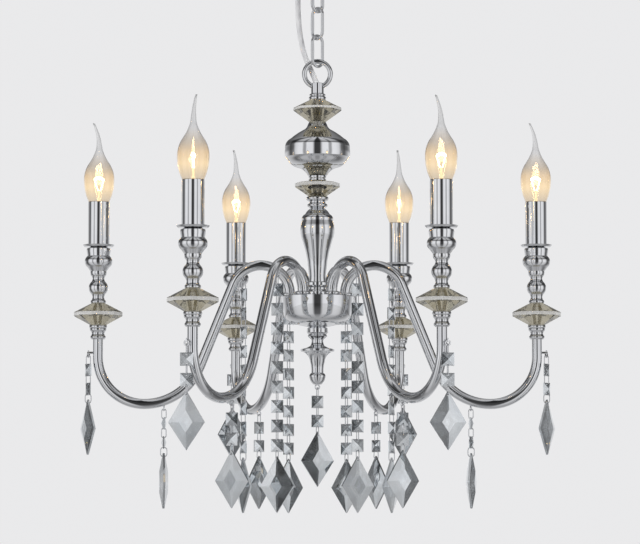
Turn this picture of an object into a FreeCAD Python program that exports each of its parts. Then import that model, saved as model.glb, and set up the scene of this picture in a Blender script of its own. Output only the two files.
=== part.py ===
"""Chain-hung chandelier: six swept arms round a turned column, candle lamps and strands of cut glass.

The frame is the ceiling: the origin is the middle of the ceiling plane, +Z is up and -Y is the front.
Heights in the source are counted from the middle plane of the candle crystals, and level() turns them into Z.
All lengths are in millimetres and all angles in degrees.
"""
import FreeCAD, Part
import math
import os

V = FreeCAD.Vector
UP = V(0, 0, 1)
CENTRE = V(0, 0, 0)

# Fits
running_gap = 0.3
wire_gap = 0.4
seat_gap = 0.05
overrun = 2.0

# Six arms, by the heading of each one from the front
arm_headings = {"front_left": -32.0, "front_right": 32.0, "side_left": -90.0,
                "side_right": 90.0, "rear_left": -156.4, "rear_right": 156.4}
arm_reach = 255.0
tube_radius = 5.9
tube_wall = 1.2
outer_bow_radius = 54.0
arm_depth = 104.5
leg_slant = 22.0
arch_radius = 34.0
arch_height = 57.0
root_radius = 32.0
root_depth = 9.0
riser_start = 17.5

# Centre bowl, its lid and what is bolted through it
bowl_radius = 42.2
bowl_depth = 35.0
bowl_wall = 1.5
lid_height = 20.1
lid_thickness = 3.0
bowl_outline_shares = ((0.976, 0.37), (0.93, 0.62), (0.825, 0.80), (0.65, 0.905), (0.275, 1.0))
nut_across = 13.0
nut_height = 4.0
collar_radius = 9.4
collar_height = 4.6

# Column, from the bowl's lid to the ring: each height is that of one turned piece or crystal
rod_radius = 5.0
rod_bore = 3.4
rod_end_depth = 30.0
base_radius = 13.0
base_height = 17.5
baluster_radius = 20.0
baluster_height = 85.9
rings_radius = 12.8
rings_height = 14.0
lower_crystal_radius = 26.2
lower_crystal_heights = (11.4, 4.3, 2.6)
neck_radius = 10.3
neck_height = 6.6
vase_radius = 37.9
vase_height = 63.0
vase_wall = 1.6
upper_crystal_radius = 28.2
upper_crystal_heights = (13.6, 3.1, 9.2)
crystal_neck_radius = 9.6
coupler_radius = 10.1
coupler_height = 19.9
ring_radius = 15.2
ring_wire = 2.9
ring_sink = 4.5
ring_play = 1.5
cord_pocket_radius = 3.9
cord_pocket_depth = 0.7

# Chain, canopy and what hangs the chain from it
link_wire = 1.75
link_half_width = 8.25
link_length = 40.0
link_turn = 45.0
hook_wire = 2.0
hook_length = 25.2
hook_flange_radius = 11.0
hook_flange_height = 5.0
canopy_radius = 60.0
canopy_height = 60.0
canopy_wall = 1.2
canopy_flat_radius = 34.0
canopy_shoulder_shares = (0.955, 0.43)
bracket_length = 104.0
bracket_width = 22.0
bracket_thickness = 3.0
slot_spacing = 70.0
slot_length = 14.0
slot_radius = 2.6
stud_radius = 5.0
nut_ring_radius = 9.0
nut_ring_height = 5.0

# Supply cord: it leaves a grip in the canopy, runs beside the chain and goes into the coupler
cord_radius = 3.1
grip_radius = 6.6
grip_flange_height = 3.0
grip_body_radius = 5.2
grip_height = 9.0
cord_route = ((-23.0, 6.0, -51.3), (-23.0, 6.5, -74.3), (-22.5, 7.5, -96.3), (-20.5, 9.0, -118.3),
              (-15.5, 9.5, -140.3), (-7.5, 6.5, -158.3), (0.5, 2.2, -178.3))
cord_run_share = 0.45

# Candles: cup under the crystal, crystal collar, turned stem, sleeve and lamp
cup_radius = 10.4
cup_height = 17.1
candle_crystal_radius = 28.3
candle_crystal_heights = (10.3, 4.4, 9.7)
stem_radius = 15.9
stem_height = 66.6
pan_radius = 18.3
pan_thickness = 2.4
pan_dip_share = 0.9
crystal_bore = 4.4
sleeve_radius = 12.5
sleeve_wall = 1.4
sleeve_height = 50.0
holder_radius = 10.4
holder_height = 40.0
socket_radius = 7.3
socket_depth = 26.0
cap_radius = 6.9
cap_height = 25.0
cap_contact_radius = 3.4
cap_contact_height = 2.2
bulb_radius = 17.7
bulb_height = 62.0
bulb_wall = 1.0
bulb_neck = 8.0
tail_height = 31.0
tail_radius_shares = (0.97, 0.74, 0.56, 0.42, 0.22)
tail_lean_shares = (0.0, 0.01, 0.04, 0.11, 0.21)
tail_headings = {"front_left": 30.0, "front_right": -60.0, "side_left": -90.0,
                 "side_right": -90.0, "rear_left": -150.0, "rear_right": -165.0}
mount_radius = 2.6
mount_height = 25.0
filament_wire = 0.6
filament_spread = 4.2
filament_rise = 15.0

# Outlines of the turned pieces: shares of the piece's radius and height, counted down from its top.
# An entry of two numbers is a straight run to that point, and one of four is an arc through the first pair.
base_outline_shares = ((0.86, 0.0), (1.0, 0.06), (1.0, 0.25), (0.80, 0.34),
                       (0.76, 0.47, 0.82, 0.60), (0.905, 0.68), (0.905, 0.90), (0.86, 1.0))
baluster_outline_shares = ((0.42, 0.0), (0.60, 0.035, 0.725, 0.08), (0.85, 0.10, 0.905, 0.17),
                           (1.0, 0.30, 0.87, 0.44), (0.66, 0.62, 0.51, 0.86), (0.49, 0.94, 0.52, 1.0))
rings_outline_shares = ((0.90, 0.0), (1.02, 0.17, 0.90, 0.34), (0.76, 0.40), (0.74, 0.52, 0.78, 0.62),
                        (0.93, 0.74, 0.80, 0.88), (0.62, 1.0))
neck_outline_shares = ((0.86, 0.0), (1.0, 0.12), (1.0, 0.42), (0.88, 0.55, 1.0, 0.68),
                       (1.0, 0.90), (0.86, 1.0))
vase_outline_shares = ((0.256, 0.0), (0.298, 0.05), (0.36, 0.12, 0.46, 0.16), (0.66, 0.235, 0.84, 0.32),
                       (0.965, 0.39, 1.0, 0.50), (1.01, 0.58, 0.993, 0.665), (0.95, 0.69, 0.918, 0.715),
                       (0.82, 0.79, 0.62, 0.85), (0.40, 0.92, 0.30, 1.0))
coupler_outline_shares = ((0.70, 0.0), (0.733, 0.03), (0.733, 0.62), (0.90, 0.66), (0.94, 0.72, 0.86, 0.78),
                          (0.98, 0.84), (1.0, 0.92, 0.95, 1.0))
cup_outline_shares = ((0.93, 0.0), (1.0, 0.09), (1.0, 0.18), (0.90, 0.24), (0.93, 0.34, 0.86, 0.42),
                      (0.71, 0.60, 0.80, 0.76), (0.87, 0.84, 0.80, 0.93), (0.70, 1.0))
stem_outline_shares = ((0.60, 0.0), (0.86, 0.03), (0.88, 0.075, 0.85, 0.12), (0.83, 0.165),
                       (1.0, 0.23, 0.80, 0.36), (0.585, 0.43), (0.60, 0.465, 0.56, 0.50),
                       (0.44, 0.555, 0.50, 0.61), (0.71, 0.725, 0.50, 0.83),
                       (0.44, 0.88, 0.47, 0.93), (0.57, 0.965, 0.50, 1.0))
bulb_outline_shares = ((0.22, 0.0), (0.36, 0.11, 0.60, 0.235), (0.955, 0.45, 1.0, 0.61),
                       (0.925, 0.80, 0.68, 1.0))
finial_outline_shares = ((0.50, 0.0), (0.62, 0.03), (0.62, 0.10), (0.52, 0.13), (0.58, 0.16), (0.36, 0.22),
                         (0.35, 0.27, 0.42, 0.33), (0.66, 0.365), (1.0, 0.39), (0.98, 0.425),
                         (0.56, 0.50, 0.44, 0.60), (0.37, 0.70, 0.36, 0.80), (0.48, 0.845, 0.46, 0.89),
                         (0.40, 0.94, 0.22, 1.0))
finial_radius = 19.7
finial_height = 67.0

# Cut-glass strands: square beads and a kite drop, each on an oval ring through drilled holes
bead_size = 14.4
bead_thickness = 6.0
bead_edge = 1.2
bead_hole = 2.0
bead_hole_place = 5.4
wire_thickness = 1.2
oval_length = 11.3
oval_half_width = 2.6
oval_end = 1.5
kite_oval_half_width = 3.7
kite_oval_end = 2.6
kite_width = 40.0
kite_height = 64.0
kite_widest_share = 0.53
kite_thickness = 10.0
kite_edge = 2.4
kite_table_share = 0.38
kite_hole_place = 4.6
eye_radius = 2.6
eye_wire = 0.9
eye_shank = 1.3
eye_drop = 5.3
inner_strand_radius = 86.0
under_strand_inset = 77.0
outer_strand_offset = 11.0
outer_strand_depth = 50.1
inner_strand_beads = 9
short_strand_beads = 2
strand_facings = {
    "inner": {"front_left": -20.0, "front_right": 24.0, "side_left": -62.0,
              "side_right": 58.0, "rear_left": -146.0, "rear_right": 150.0},
    "under": {"front_left": -24.0, "front_right": 28.0, "side_left": -84.0,
              "side_right": 78.0, "rear_left": -140.0, "rear_right": 136.0},
    "outer": {"front_left": -8.0, "front_right": 10.0, "side_left": -62.0,
              "side_right": 60.0, "rear_left": -150.0, "rear_right": 146.0},
    "centre": {"middle": 20.0},
}


def share_points(shares, radius, height, top):
    """The outline's points in real sizes: radius, then height counted down from the top."""
    return [tuple(radius * s if i % 2 == 0 else top - height * s for i, s in enumerate(entry))
            for entry in shares]


def outline_edges(points):
    """Lines and arcs through the outline's points, in the XZ plane."""
    edges = []
    last = V(points[0][0], 0, points[0][1])
    for entry in points[1:]:
        end = V(entry[-2], 0, entry[-1])
        if len(entry) == 2:
            edges.append(Part.LineSegment(last, end).toShape())
        else:
            edges.append(Part.Arc(last, V(entry[0], 0, entry[1]), end).toShape())
        last = end
    return edges


def turned(points, bore=0.0):
    """A turned solid from its outline, drilled down its axis where it has a bore."""
    edges = outline_edges(points)
    first, last = points[0], points[-1]
    inner_top = V(bore, 0, first[1])
    inner_end = V(bore, 0, last[-1])
    edges.append(Part.LineSegment(V(last[-2], 0, last[-1]), inner_end).toShape())
    edges.append(Part.LineSegment(inner_end, inner_top).toShape())
    edges.append(Part.LineSegment(inner_top, V(first[0], 0, first[1])).toShape())
    face = Part.Face(Part.Wire(edges))
    return face.revolve(CENTRE, UP, 360)


def disc(radius, bottom, top, bore=0.0):
    """A plain round disc or tube between two levels."""
    solid = Part.makeCylinder(radius, top - bottom, V(0, 0, bottom))
    if bore:
        solid = solid.cut(Part.makeCylinder(bore, top - bottom + 2 * overrun, V(0, 0, bottom - overrun)))
    return solid


def faceted(rings):
    """A flat-faced solid through rings of points, with a point or a flat face at each end."""
    faces = []
    for low, high in zip(rings, rings[1:]):
        count = max(len(low), len(high))
        for i in range(count):
            j = (i + 1) % count
            corners = [low[i % len(low)], low[j % len(low)], high[j % len(high)], high[i % len(high)]]
            loop = [p for n, p in enumerate(corners) if not p.isEqual(corners[n - 1], seat_gap / 10)]
            faces.append(Part.Face(Part.makePolygon(loop + loop[:1])))
    for ring in (rings[0], rings[-1]):
        if len(ring) > 1:
            faces.append(Part.Face(Part.makePolygon(ring + ring[:1])))
    solid = Part.Solid(Part.Shell(faces))
    if solid.Volume < 0:
        solid.reverse()
    return solid


def octagon(radius, height):
    """Eight points round the axis, one of them straight ahead."""
    return [V(radius * math.cos(math.radians(a)), radius * math.sin(math.radians(a)), height)
            for a in range(-90, 270, 45)]


def crystal(radius, heights, bottom, bore):
    """An eight-sided collar of cut glass: sloping facets below and above a straight belt, with necks."""
    low, belt, high = heights
    rings = [octagon(crystal_neck_radius, bottom), octagon(radius, bottom + low),
             octagon(radius, bottom + low + belt), octagon(crystal_neck_radius, bottom + low + belt + high)]
    return faceted(rings).cut(disc(bore, bottom - overrun, bottom + low + belt + high + overrun))


def placed(shape, heading, radius=0.0):
    """A copy set out along a heading from the front; heading 0 is -Y and 90 is +X."""
    copy = shape.copy()
    copy.translate(V(radius, 0, 0))
    copy.rotate(CENTRE, UP, heading - 90)
    return copy


def stood(shape, heading, radius):
    """A copy set out along a heading without a turn of its own."""
    copy = shape.copy()
    angle = math.radians(heading)
    copy.translate(V(radius * math.sin(angle), -radius * math.cos(angle), 0))
    return copy


def faced(shape, facing):
    """A copy turned on the spot, so that what faced the front looks along the heading."""
    copy = shape.copy()
    copy.rotate(CENTRE, UP, facing)
    return copy


def column_levels():
    """The height at which each piece of the column starts, from the bowl's lid up to the ceiling."""
    pieces = (("base", base_height), ("baluster", baluster_height), ("rings", rings_height),
              ("lower_crystal", sum(lower_crystal_heights)), ("neck", neck_height), ("vase", vase_height),
              ("upper_crystal", sum(upper_crystal_heights)), ("coupler", coupler_height))
    levels = {}
    at = lid_height
    for name, height in pieces:
        levels[name] = at
        at += height
    levels["coupler_top"] = at
    levels["ring"] = at + ring_radius - ring_sink
    hook = ring_wire + ring_play + link_wire
    levels["link_2"] = levels["ring"] + ring_radius - hook
    pitch = link_length - 2 * link_wire
    levels["link_1"] = levels["link_2"] + pitch - 2 * link_wire - running_gap
    levels["hook"] = levels["link_1"] + pitch - link_wire - running_gap - hook_wire
    levels["canopy"] = levels["hook"] + hook_length + hook_flange_height
    levels["ceiling"] = levels["canopy"] + canopy_height
    return levels


LEVELS = column_levels()


def level(height):
    """Z of a height that is counted from the middle plane of the candle crystals."""
    return height - LEVELS["ceiling"]


def export(name, solids):
    """Write one sub-part, moved down so that the ceiling plane is at zero."""
    shape = Part.makeCompound(solids) if len(solids) > 1 else solids[0]
    shape = shape.copy()
    shape.translate(V(0, 0, level(0.0)))
    for solid in shape.Solids:
        if not solid.isValid():
            print("not valid:", name)
    shape.exportStep("parts/" + name + ".step")


# Arms
def arm_path():
    """The centre line of one arm in the XZ plane, from the riser's top to the root, as edges."""
    slant = math.radians(leg_slant)
    normal = V(math.cos(slant), 0, math.sin(slant))
    along = V(math.sin(slant), 0, -math.cos(slant))
    arch = V(root_radius + arch_radius, 0, arch_height - arch_radius)
    bottom = arm_reach - outer_bow_radius
    offset = normal.dot(arch) + arch_radius
    inner = (normal.x * bottom - normal.z * arm_depth - offset) / (1 - normal.z)
    bow = V(bottom, 0, inner - arm_depth)
    outer = V(bottom, 0, outer_bow_radius - arm_depth)
    down = V(0, 0, -1)
    diagonal = V(math.cos(math.pi / 4), 0, -math.sin(math.pi / 4))
    riser_top = V(arm_reach, 0, -riser_start)
    outer_end = V(arm_reach, 0, outer.z)
    lowest = V(bottom, 0, -arm_depth)
    leg_low = bow - normal * inner
    leg_high = arch + normal * arch_radius
    root_high = V(root_radius, 0, arch.z)
    bow_middle = bow + (down - normal).normalize() * inner
    arch_middle = arch + (normal + V(-1, 0, 0)).normalize() * arch_radius
    return [Part.LineSegment(riser_top, outer_end).toShape(),
            Part.Arc(outer_end, outer + diagonal * outer_bow_radius, lowest).toShape(),
            Part.Arc(lowest, bow_middle, leg_low).toShape(),
            Part.LineSegment(leg_low, leg_high).toShape(),
            Part.Arc(leg_high, arch_middle, root_high).toShape(),
            Part.LineSegment(root_high, V(root_radius, 0, root_depth)).toShape()]


def tube_along(edges, radius):
    """A round bar swept along joined edges."""
    wire = Part.Wire(edges)
    start = edges[0].valueAt(edges[0].FirstParameter)
    direction = edges[0].tangentAt(edges[0].FirstParameter)
    circle = Part.Wire([Part.makeCircle(radius, start, direction)])
    return wire.makePipeShell([circle], True, True)


def arm_height(radius):
    """The height of the arm's underside where it runs at that distance from the axis."""
    cutter = Part.makeBox(seat_gap, seat_gap, 4 * arm_depth, V(radius, -seat_gap / 2, -2 * arm_depth))
    return ARM_BAR.common(cutter).BoundBox.ZMin


ARM_PATH = arm_path()
ARM_BAR = tube_along(ARM_PATH, tube_radius)


def arm_tube():
    """The bent tube of one arm."""
    return ARM_BAR.cut(tube_along(ARM_PATH, tube_radius - tube_wall))


def hex_nut(across, bottom, height, bore):
    """A plain hexagon nut."""
    corner = across / 2 / math.cos(math.pi / 6)
    points = [V(corner * math.cos(math.radians(a)), corner * math.sin(math.radians(a)), bottom)
              for a in range(0, 360, 60)]
    body = Part.Face(Part.makePolygon(points + points[:1])).extrude(V(0, 0, height))
    return body.cut(disc(bore, bottom - overrun, bottom + height + overrun))


def root_nut():
    """The nut that pulls an arm's root up against the lid."""
    return hex_nut(nut_across, lid_height - lid_thickness - nut_height, nut_height, tube_radius + seat_gap)


def root_collar():
    """The rounded collar where an arm enters the lid."""
    edge = collar_height / 2
    points = [(collar_radius - edge, lid_height + collar_height),
              (collar_radius, lid_height + edge, collar_radius - edge, lid_height)]
    return turned(points, tube_radius + seat_gap)


# Centre bowl and column
def bowl_points(shrink):
    """The bowl's outline, drawn in by a wall for its hollow."""
    top = lid_height
    points = [(bowl_radius - shrink, top), (bowl_radius - shrink, top - lid_thickness - seat_gap)]
    for r, z in bowl_outline_shares:
        points.append((bowl_radius * r - shrink, top - (bowl_depth - shrink) * z))
    return points


def centre_bowl():
    """The polished pan under the arms."""
    outer = turned(smooth_run(bowl_points(0.0)), 0.0)
    hollow = turned(smooth_run(bowl_points(bowl_wall)), 0.0)
    return outer.cut(hollow).cut(disc(rod_radius + seat_gap, -bowl_depth, lid_height))


def smooth_run(points):
    """Turns the points after the second into arcs through every other one."""
    arcs = [points[i] + points[i + 1] for i in range(2, len(points) - 1, 2)]
    return points[:2] + arcs + ([points[-1]] if len(points) % 2 else [])


def bowl_lid():
    """The plate that carries the arm roots, with a hole for each and one for the rod."""
    bottom = lid_height - lid_thickness
    lid = disc(bowl_radius - bowl_wall - seat_gap, bottom, lid_height, rod_radius + seat_gap)
    hole = disc(tube_radius + seat_gap, bottom - overrun, lid_height + overrun)
    for heading in arm_headings.values():
        lid = lid.cut(placed(hole, heading, root_radius))
    return lid


def column_piece(shares, radius, name, height, wall=0.0):
    """One turned piece of the column, drilled for the rod, and hollowed where it has a wall."""
    bottom = LEVELS[name]
    points = share_points(shares, radius, height, bottom + height)
    solid = turned(points, rod_radius + seat_gap)
    if wall:
        solid = solid.cut(hollow_of(points, wall, rod_radius + wall, bottom + wall, bottom + height - wall))
    return solid


def hollow_of(points, wall, least, low, high):
    """The room inside a spun shell, a wall in from its outline."""
    inner = [tuple(max(value - wall, least) if i % 2 == 0 else min(max(value, low), high)
                   for i, value in enumerate(entry)) for entry in points]
    corners = [V(entry[-2], 0, entry[-1]) for entry in inner]
    apart = [corners[0]]
    for corner in corners[1:]:
        if not corner.isEqual(apart[-1], seat_gap):
            apart.append(corner)
    loop = apart + [V(least - wall / 2, 0, apart[-1].z), V(least - wall / 2, 0, apart[0].z), apart[0]]
    return Part.Face(Part.makePolygon(loop)).revolve(CENTRE, UP, 360)


def centre_rod():
    """The threaded tube that clamps the column, the lid and the bowl together."""
    top = LEVELS["coupler"] + (coupler_height - ring_sink - 2 * ring_wire) / 2
    return disc(rod_radius, -rod_end_depth, top, rod_bore)


def ring_coupler():
    """The turned head of the column: the ring goes through its cross hole and the cord into its top."""
    top = LEVELS["coupler_top"]
    bottom = LEVELS["coupler"]
    points = share_points(coupler_outline_shares, coupler_radius, coupler_height, top)
    rod_top = bottom + (coupler_height - ring_sink - 2 * ring_wire) / 2
    head = turned(points).cut(disc(rod_radius + seat_gap, bottom - overrun, rod_top + seat_gap))
    head = head.cut(ring_loop(ring_wire + seat_gap))
    floor = top - cord_pocket_depth
    x, y = cord_end(level(floor))
    return head.cut(Part.makeCylinder(cord_pocket_radius, cord_pocket_depth + overrun, V(x, y, floor)))


def cord_end(height):
    """Where the cord's last run passes a height."""
    start, end = (V(*point) for point in cord_route[-2:])
    at = start + (end - start) * ((height - start.z) / (end.z - start.z))
    return at.x, at.y


def ring_loop(wire):
    """The round ring in the column's head, facing the front."""
    return Part.makeTorus(ring_radius, wire, V(0, 0, LEVELS["ring"]), V(0, 1, 0))


def bottom_finial():
    """The turned drop under the bowl, screwed onto the rod, with a blind bore."""
    top = lid_height - bowl_depth
    points = share_points(finial_outline_shares, finial_radius, finial_height, top)
    bore_end = -rod_end_depth - running_gap
    return turned(points).cut(disc(rod_radius + seat_gap, bore_end, top + overrun))


def finial_eye():
    """The small eye under the finial and the height of its lowest run."""
    bottom = lid_height - bowl_depth - finial_height
    hook = bottom - eye_drop
    eye = faced(strand_eye(eye_drop - 2 * eye_radius), strand_facings["centre"]["middle"])
    eye.translate(V(0, 0, hook))
    return eye.cut(disc(finial_radius, bottom, bottom + eye_drop)), hook


# Chain and canopy
def oval_loop(half_width, length, wire, bottom):
    """A closed oval of round wire, facing the front; bottom is the height of its lowest centre line."""
    low = bottom + half_width
    high = bottom + length - half_width
    edges = [Part.Arc(V(-half_width, 0, low), V(0, 0, bottom), V(half_width, 0, low)).toShape(),
             Part.LineSegment(V(half_width, 0, low), V(half_width, 0, high)).toShape(),
             Part.Arc(V(half_width, 0, high), V(0, 0, bottom + length), V(-half_width, 0, high)).toShape(),
             Part.LineSegment(V(-half_width, 0, high), V(-half_width, 0, low)).toShape()]
    circle = Part.Wire([Part.makeCircle(wire, V(-half_width, 0, low), V(0, 0, 1))])
    return Part.Wire(edges).makePipeShell([circle], True, True)


def chain_link(name, turn):
    """One oval link of the chain, turned on its axis."""
    return faced(oval_loop(link_half_width, link_length - 2 * link_wire, link_wire, LEVELS[name]), turn)


def canopy_hook():
    """The bail that the chain hangs from: a bent wire in a flanged boss, screwed onto the stud."""
    bottom = LEVELS["hook"]
    top = LEVELS["canopy"]
    low = bottom + link_half_width
    flange = top - hook_flange_height
    edges = [Part.LineSegment(V(-link_half_width, 0, flange), V(-link_half_width, 0, low)).toShape(),
             Part.Arc(V(-link_half_width, 0, low), V(0, 0, bottom), V(link_half_width, 0, low)).toShape(),
             Part.LineSegment(V(link_half_width, 0, low), V(link_half_width, 0, flange)).toShape()]
    bail = tube_along(edges, hook_wire)
    half = hook_flange_height / 2
    shoulder = hook_flange_radius - half
    boss = turned([(shoulder, top), (hook_flange_radius, top - half, shoulder, flange)])
    bore = disc(stud_radius + seat_gap, flange + half, top + overrun)
    return faced(bail.fuse(boss).cut(bore), link_turn)


def canopy_stud():
    """The threaded stud between the bracket and the hook, flush with the ceiling."""
    bottom = LEVELS["canopy"] - hook_flange_height / 2 + running_gap
    return disc(stud_radius, bottom, LEVELS["ceiling"])


def canopy_nut():
    """The ring nut inside the canopy, which holds its floor down on the hook's flange."""
    bottom = LEVELS["canopy"] + canopy_wall
    return hex_nut(2 * nut_ring_radius, bottom, nut_ring_height, stud_radius + seat_gap)


def canopy_points(shrink):
    """The canopy's outline: a flat floor, a rounded shoulder and a rim against the ceiling."""
    floor = LEVELS["canopy"] + shrink
    ceiling = LEVELS["ceiling"]
    shoulder_r, shoulder_z = canopy_shoulder_shares
    return [(canopy_radius - shrink, ceiling),
            (canopy_radius * shoulder_r - shrink, ceiling - canopy_height * shoulder_z,
             canopy_flat_radius - shrink / 2, floor)]


def canopy_dome():
    """The spun cover against the ceiling, with holes for the stud and the cord grip."""
    dome = turned(canopy_points(0.0)).cut(turned(canopy_points(canopy_wall)))
    floor = LEVELS["canopy"]
    dome = dome.cut(disc(stud_radius + seat_gap, floor - overrun, floor + overrun))
    x, y, _ = cord_route[0]
    hole = Part.makeCylinder(grip_body_radius + seat_gap, 2 * overrun, V(x, y, floor - overrun))
    return dome.cut(hole)


def cord_grip():
    """The flanged bush that holds the cord in the canopy's floor."""
    x, y, _ = cord_route[0]
    floor = LEVELS["canopy"]
    flange = Part.makeCylinder(grip_radius, grip_flange_height, V(x, y, floor - grip_flange_height))
    body = Part.makeCylinder(grip_body_radius, grip_height - grip_flange_height, V(x, y, floor))
    bush = flange.fuse(body)
    mouth = Part.makeCylinder(cord_radius + wire_gap, grip_height + 2 * overrun,
                              V(x, y, floor - grip_flange_height - overrun))
    return bush.cut(mouth)


def ceiling_bracket():
    """The cross bar that is screwed to the ceiling through two slots."""
    ceiling = LEVELS["ceiling"]
    bar = Part.makeBox(bracket_length, bracket_width, bracket_thickness,
                       V(-bracket_length / 2, -bracket_width / 2, ceiling - bracket_thickness))
    bar = bar.cut(disc(stud_radius + seat_gap, ceiling - bracket_thickness - overrun, ceiling + overrun))
    reach = slot_length / 2 - slot_radius
    bottom = ceiling - bracket_thickness - overrun
    height = bracket_thickness + 2 * overrun
    for side in (-1, 1):
        middle = side * slot_spacing / 2
        for end in (-reach, reach):
            bar = bar.cut(Part.makeCylinder(slot_radius, height, V(middle + end, 0, bottom)))
        corner = V(middle - reach, -slot_radius, bottom)
        bar = bar.cut(Part.makeBox(2 * reach, 2 * slot_radius, height, corner))
    return bar


# Supply cord
def cord_path():
    """Straight runs along the route, joined by tangent arcs as large as the runs allow."""
    points = [V(x, y, z) for x, y, z in cord_route]
    edges = []
    last = points[0]
    for before, at, after in zip(points, points[1:], points[2:]):
        back = (before - at)
        ahead = (after - at)
        turn = math.pi - back.getAngle(ahead)
        cut = cord_run_share * min(back.Length, ahead.Length)
        radius = cut / math.tan(turn / 2)
        print("cord arc radius %.0f mm" % radius)
        start = at + back.normalize() * cut
        end = at + ahead.normalize() * cut
        bisector = (back + ahead).normalize()
        centre = at + bisector * (radius / math.cos(turn / 2))
        edges.append(Part.LineSegment(last, start).toShape())
        edges.append(Part.Arc(start, centre - bisector * radius, end).toShape())
        last = end
    edges.append(Part.LineSegment(last, points[-1]).toShape())
    return edges


def supply_cord():
    """The cord in three stretches, parted between the joints of the chain."""
    edges = cord_path()
    tube = tube_along(edges, cord_radius)
    length = sum(edge.Length for edge in edges)
    share = tube.Volume / (math.pi * cord_radius ** 2 * length)
    print("cord length %.1f mm, volume over section times length %.4f" % (length, share))
    floor = level(LEVELS["coupler_top"] - cord_pocket_depth)
    parts = [cord_route[0][2] + cord_radius, cord_route[2][2], cord_route[4][2], floor]
    pieces = []
    side = 4 * canopy_radius
    for top, bottom in zip(parts, parts[1:]):
        slab = Part.makeBox(side, side, top - bottom, V(-side / 2, -side / 2, bottom))
        piece = tube.common(slab)
        piece.translate(V(0, 0, -level(0.0)))
        pieces.append(piece)
    return pieces


# Candles
def riser_cup():
    """The turned cup where a riser meets its crystal."""
    top = -candle_crystal_heights[0] - candle_crystal_heights[1] / 2
    points = share_points(cup_outline_shares, cup_radius, cup_height, top)
    bore = disc(tube_radius + seat_gap, top - cup_height - overrun, -riser_start + seat_gap)
    return turned(points).cut(bore).cut(disc(crystal_bore, -riser_start, top + overrun))


def candle_crystal():
    """The eight-sided glass collar under a candle."""
    bottom = -candle_crystal_heights[0] - candle_crystal_heights[1] / 2
    return crystal(candle_crystal_radius, candle_crystal_heights, bottom, crystal_bore)


def candle_stem():
    """The turned stem between the crystal and the sleeve, with its drip pan."""
    bottom = candle_crystal_heights[1] / 2 + candle_crystal_heights[2]
    top = bottom + stem_height
    points = share_points(stem_outline_shares, stem_radius, stem_height, top)
    pan = [(pan_radius * pan_dip_share, top + pan_thickness), (pan_radius, top + pan_thickness),
           (pan_radius * pan_dip_share, top), (stem_radius * stem_outline_shares[0][0], top)]
    spigot = disc(crystal_bore - seat_gap, -riser_start + seat_gap, bottom)
    return turned(points).fuse([turned(pan), spigot]), top + pan_thickness


def candle_sleeve(bottom):
    """The plain tube that stands in the drip pan."""
    return disc(sleeve_radius, bottom, bottom + sleeve_height, sleeve_radius - sleeve_wall)


def lampholder(bottom):
    """The holder inside a sleeve, with the socket for the lamp's cap."""
    top = bottom + holder_height
    return disc(holder_radius, bottom, top).cut(disc(socket_radius, top - socket_depth, top + overrun))


def lamp_cap(top):
    """The screw cap of a lamp, down in its socket."""
    shell = disc(cap_radius, top - cap_height + cap_contact_height, top)
    return shell.fuse(disc(cap_contact_radius, top - cap_height, top))


def bulb_points(bottom, shrink):
    """The glass's outline from its top down to the neck that goes into the cap, drawn in by a wall."""
    top = bottom + bulb_height
    points = share_points(bulb_outline_shares, bulb_radius, bulb_height, top)
    points += [(sleeve_radius - sleeve_wall - running_gap, bottom), (cap_radius, bottom - bulb_neck)]
    return [tuple(value - shrink if i % 2 == 0 else value for i, value in enumerate(entry))
            for entry in points]


def lamp_glass(bottom, turn):
    """The flame-shaped glass of a lamp, with its bent tail; the tail leans towards the heading."""
    top = bottom + bulb_height
    neck = bulb_radius * bulb_outline_shares[0][0]
    hollow = turned(bulb_points(bottom, bulb_wall)).cut(disc(neck, top - bulb_wall, top + overrun))
    step = sleeve_radius - sleeve_wall - running_gap - bulb_wall
    hollow = hollow.cut(disc(bulb_radius, bottom, bottom + bulb_wall, step))
    shell = turned(bulb_points(bottom, 0.0)).cut(hollow)
    steps = len(tail_radius_shares) - 1
    start = top - bulb_wall / 2
    rings = []
    for i, (share, lean) in enumerate(zip(tail_radius_shares, tail_lean_shares)):
        height = start + (top + tail_height - start) * i / steps
        rings.append(Part.Wire([Part.makeCircle(neck * share, V(tail_height * lean, 0, height), UP)]))
    glass = shell.fuse(Part.makeLoft(rings, True, False))
    glass.rotate(CENTRE, UP, turn - 90)
    return glass


def lamp_mount(bottom):
    """The glass stem and the lit loop of wire inside a lamp."""
    stem = Part.makeCone(mount_radius, mount_radius / 2, mount_height, V(0, 0, bottom))
    foot = bottom + mount_height - mount_radius
    middle = foot + filament_rise / 2
    top = foot + filament_rise
    corners = [V(0, 0, foot), V(-filament_spread, 0, middle), V(-filament_spread / 2, 0, top),
               V(filament_spread / 2, 0, top), V(filament_spread, 0, middle), V(0, 0, foot)]
    wires = [Part.makeCylinder(filament_wire, (end - start).Length, start, end - start)
             for start, end in zip(corners, corners[1:])]
    joints = [Part.makeSphere(filament_wire, corner) for corner in corners[1:-1]]
    return stem.fuse(wires + joints)


# Strands of cut glass
def flat_ring(half_width, end, length, top):
    """An oval ring of square wire in the YZ plane, its upper centre line at that height."""
    half = wire_thickness / 2
    slope = half_width - end
    corner = math.tan(math.pi / 8)

    def loop(grow):
        high, low = top + grow, top - length - grow
        wide = half_width + grow
        tip = end + grow * corner
        shoulder = slope + grow * (1 - corner)
        points = [V(-half, -tip, high), V(-half, tip, high), V(-half, wide, high - shoulder),
                  V(-half, wide, low + shoulder), V(-half, tip, low), V(-half, -tip, low),
                  V(-half, -wide, low + shoulder), V(-half, -wide, high - shoulder)]
        return Part.Face(Part.makePolygon(points + points[:1]))

    return loop(half).cut(loop(-half)).extrude(V(wire_thickness, 0, 0))


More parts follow.
